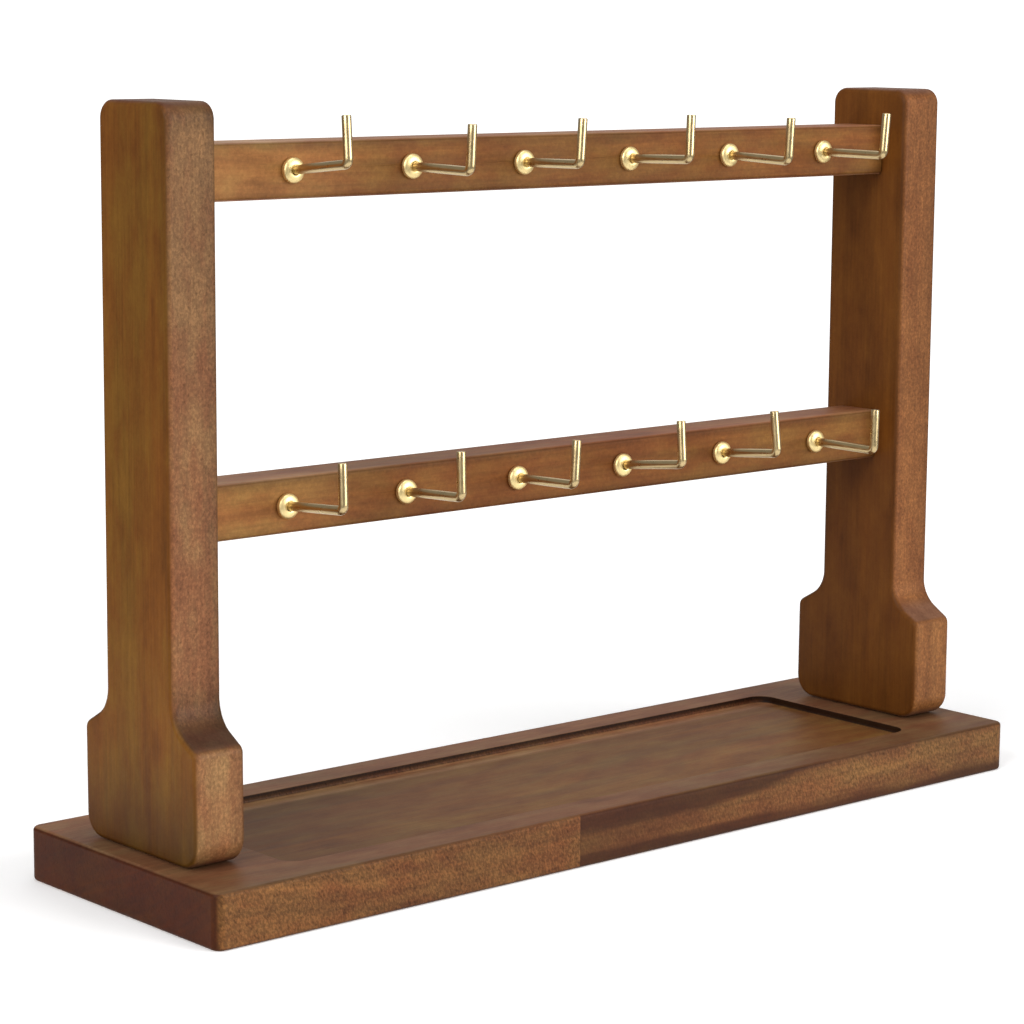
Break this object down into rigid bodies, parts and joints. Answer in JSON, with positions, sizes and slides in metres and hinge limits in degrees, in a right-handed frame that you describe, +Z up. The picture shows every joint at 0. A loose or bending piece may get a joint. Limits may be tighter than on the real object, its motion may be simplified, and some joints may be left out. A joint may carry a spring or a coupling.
{
  "type": "eyeglass display rack",
  "caption": "Walnut-stained wooden counter stand: a base with a shallow tray, two uprights with wide feet, and two rails of brass L hooks.",
  "frame": {"origin": "middle of the base board's underside, on the counter", "axes": "+X to the right along the rails, +Y to the back, +Z up; the hooks point to -Y"},
  "size_m": [0.357, 0.103, 0.2495],
  "materials": {
    "base_wood": "satin walnut stain, open pores on the edges",
    "upright_wood": "satin walnut stain, fine upright grain, speckled pores on the narrow faces",
    "rail_wood": "satin walnut stain, lengthwise grain",
    "hook_brass": "satin drawn wire",
    "collar_brass": "bright stamped",
    "dowel_wood": "plain beech, glued in",
    "screw_steel": "zinc plated"
  },
  "bodies": {
    "root": {"base_board": "base_wood", "left_upright": "upright_wood", "right_upright": "upright_wood", "upper_rail": "rail_wood", "lower_rail": "rail_wood", "upper_hook_1": "hook_brass", "upper_hook_2": "hook_brass", "upper_hook_3": "hook_brass", "upper_hook_4": "hook_brass", "upper_hook_5": "hook_brass", "upper_hook_6": "hook_brass", "lower_hook_1": "hook_brass", "lower_hook_2": "hook_brass", "lower_hook_3": "hook_brass", "lower_hook_4": "hook_brass", "lower_hook_5": "hook_brass", "lower_hook_6": "hook_brass", "upper_collar_1": "collar_brass", "upper_collar_2": "collar_brass", "upper_collar_3": "collar_brass", "upper_collar_4": "collar_brass", "upper_collar_5": "collar_brass", "upper_collar_6": "collar_brass", "lower_collar_1": "collar_brass", "lower_collar_2": "collar_brass", "lower_collar_3": "collar_brass", "lower_collar_4": "collar_brass", "lower_collar_5": "collar_brass", "lower_collar_6": "collar_brass", "upper_left_dowel_1": "dowel_wood", "upper_left_dowel_2": "dowel_wood", "upper_right_dowel_1": "dowel_wood", "upper_right_dowel_2": "dowel_wood", "lower_left_dowel_1": "dowel_wood", "lower_left_dowel_2": "dowel_wood", "lower_right_dowel_1": "dowel_wood", "lower_right_dowel_2": "dowel_wood", "base_screw_left_front": "screw_steel", "base_screw_left_back": "screw_steel", "base_screw_right_front": "screw_steel", "base_screw_right_back": "screw_steel"}
  },
  "joints": []
}
